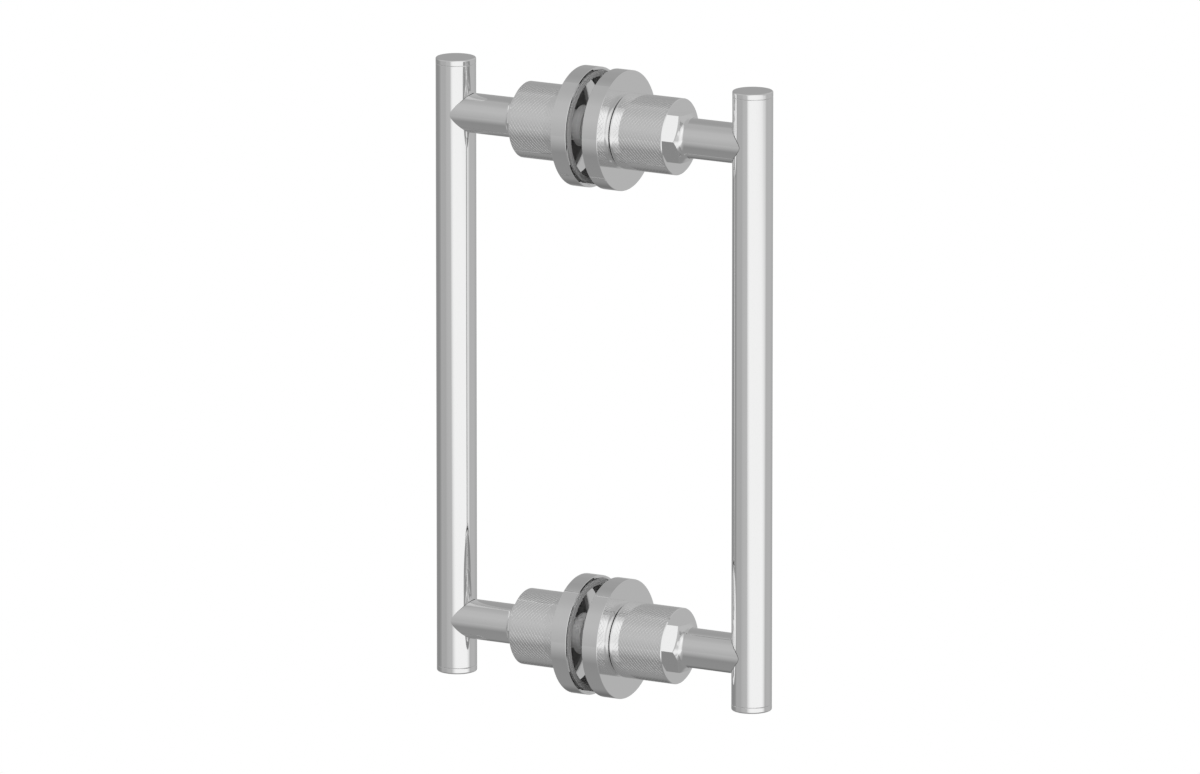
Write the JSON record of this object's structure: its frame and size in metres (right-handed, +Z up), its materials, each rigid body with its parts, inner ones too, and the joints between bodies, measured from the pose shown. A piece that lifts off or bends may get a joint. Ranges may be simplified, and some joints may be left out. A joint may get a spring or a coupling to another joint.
{
  "type": "shower door handle",
  "caption": "Back-to-back shower door pull handle: round grips on both faces of a glass door, on posts with knurled collars and round cups that clamp the glass.",
  "frame": {"origin": "middle of the glass, on the door's mid plane, halfway between the upper and the lower fitting", "axes": "+X along the posts towards the outer grip, +Z up along the grips, +Y along the glass"},
  "size_m": [0.1488, 0.0472, 0.2504],
  "materials": {
    "polished_chrome": "polished chrome plate on brass",
    "knurled_chrome": "diamond knurled and chrome plated brass",
    "gasket_plastic": "soft grey gasket plastic",
    "sleeve_plastic": "moulded grey nylon",
    "stud_steel": "turned stainless steel"
  },
  "bodies": {
    "root": {"inner_grip_tube": "polished_chrome", "inner_top_cap": "polished_chrome", "inner_bottom_cap": "polished_chrome", "inner_upper_post": "polished_chrome", "inner_upper_collar": "knurled_chrome", "inner_upper_cup": "polished_chrome", "inner_upper_gasket": "gasket_plastic", "inner_lower_post": "polished_chrome", "inner_lower_collar": "knurled_chrome", "inner_lower_cup": "polished_chrome", "inner_lower_gasket": "gasket_plastic", "outer_grip_tube": "polished_chrome", "outer_top_cap": "polished_chrome", "outer_bottom_cap": "polished_chrome", "outer_upper_post": "polished_chrome", "outer_upper_collar": "knurled_chrome", "outer_upper_cup": "polished_chrome", "outer_upper_gasket": "gasket_plastic", "outer_lower_post": "polished_chrome", "outer_lower_collar": "knurled_chrome", "outer_lower_cup": "polished_chrome", "outer_lower_gasket": "gasket_plastic", "upper_sleeve": "sleeve_plastic", "upper_stud": "stud_steel", "lower_sleeve": "sleeve_plastic", "lower_stud": "stud_steel"}
  },
  "joints": []
}
